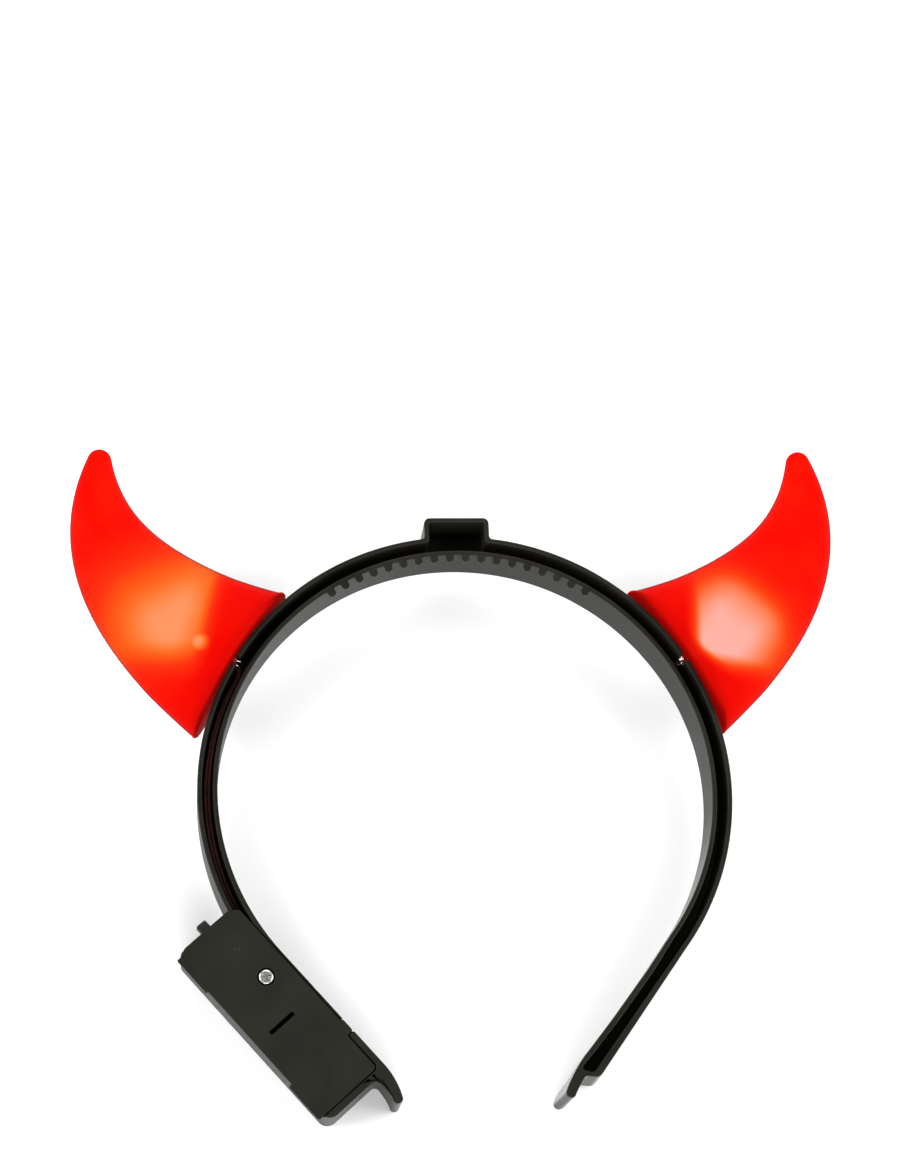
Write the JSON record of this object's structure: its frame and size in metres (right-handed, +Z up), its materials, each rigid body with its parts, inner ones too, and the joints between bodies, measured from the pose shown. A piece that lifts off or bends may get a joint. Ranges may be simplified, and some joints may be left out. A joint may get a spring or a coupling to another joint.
{
  "type": "light-up devil horns headband",
  "caption": "Rigid ring-shaped headband with curved translucent red horns lit from inside, a comb of grip teeth, a raised tab and a battery case with a slide switch on one leg.",
  "frame": {"origin": "centre of the bounding box's base: the surface that the headband lies on", "axes": "+X from the leg with the battery case to the plain leg, +Y from the legs' ends towards the horns' tips, +Z up from the surface, close to the direction the open rim of the band faces"},
  "size_m": [0.216, 0.19, 0.0339],
  "materials": {
    "black_plastic": "satin moulded black",
    "dark_plastic": "matt moulded black",
    "red_plastic": "translucent red, lit from inside",
    "steel": "bright plated cross-head",
    "lamp_plastic": "clear lamp body, lit",
    "wire_plastic": "dark red insulation"
  },
  "bodies": {
    "headband": {"headband": "black_plastic", "battery_lid": "black_plastic", "lid_screw": "steel", "horn_left": "red_plastic", "horn_right": "red_plastic", "led_left": "lamp_plastic", "led_right": "lamp_plastic", "wire_left": "wire_plastic", "wire_right": "wire_plastic"},
    "switch": {"switch_knob": "dark_plastic"}
  },
  "joints": [
    {"name": "switch_slide", "type": "slide", "parent": "headband", "child": "switch", "axis": [0.7547, 0.6542, 0.0497], "range_m": [0, 0.0014]}
  ]
}
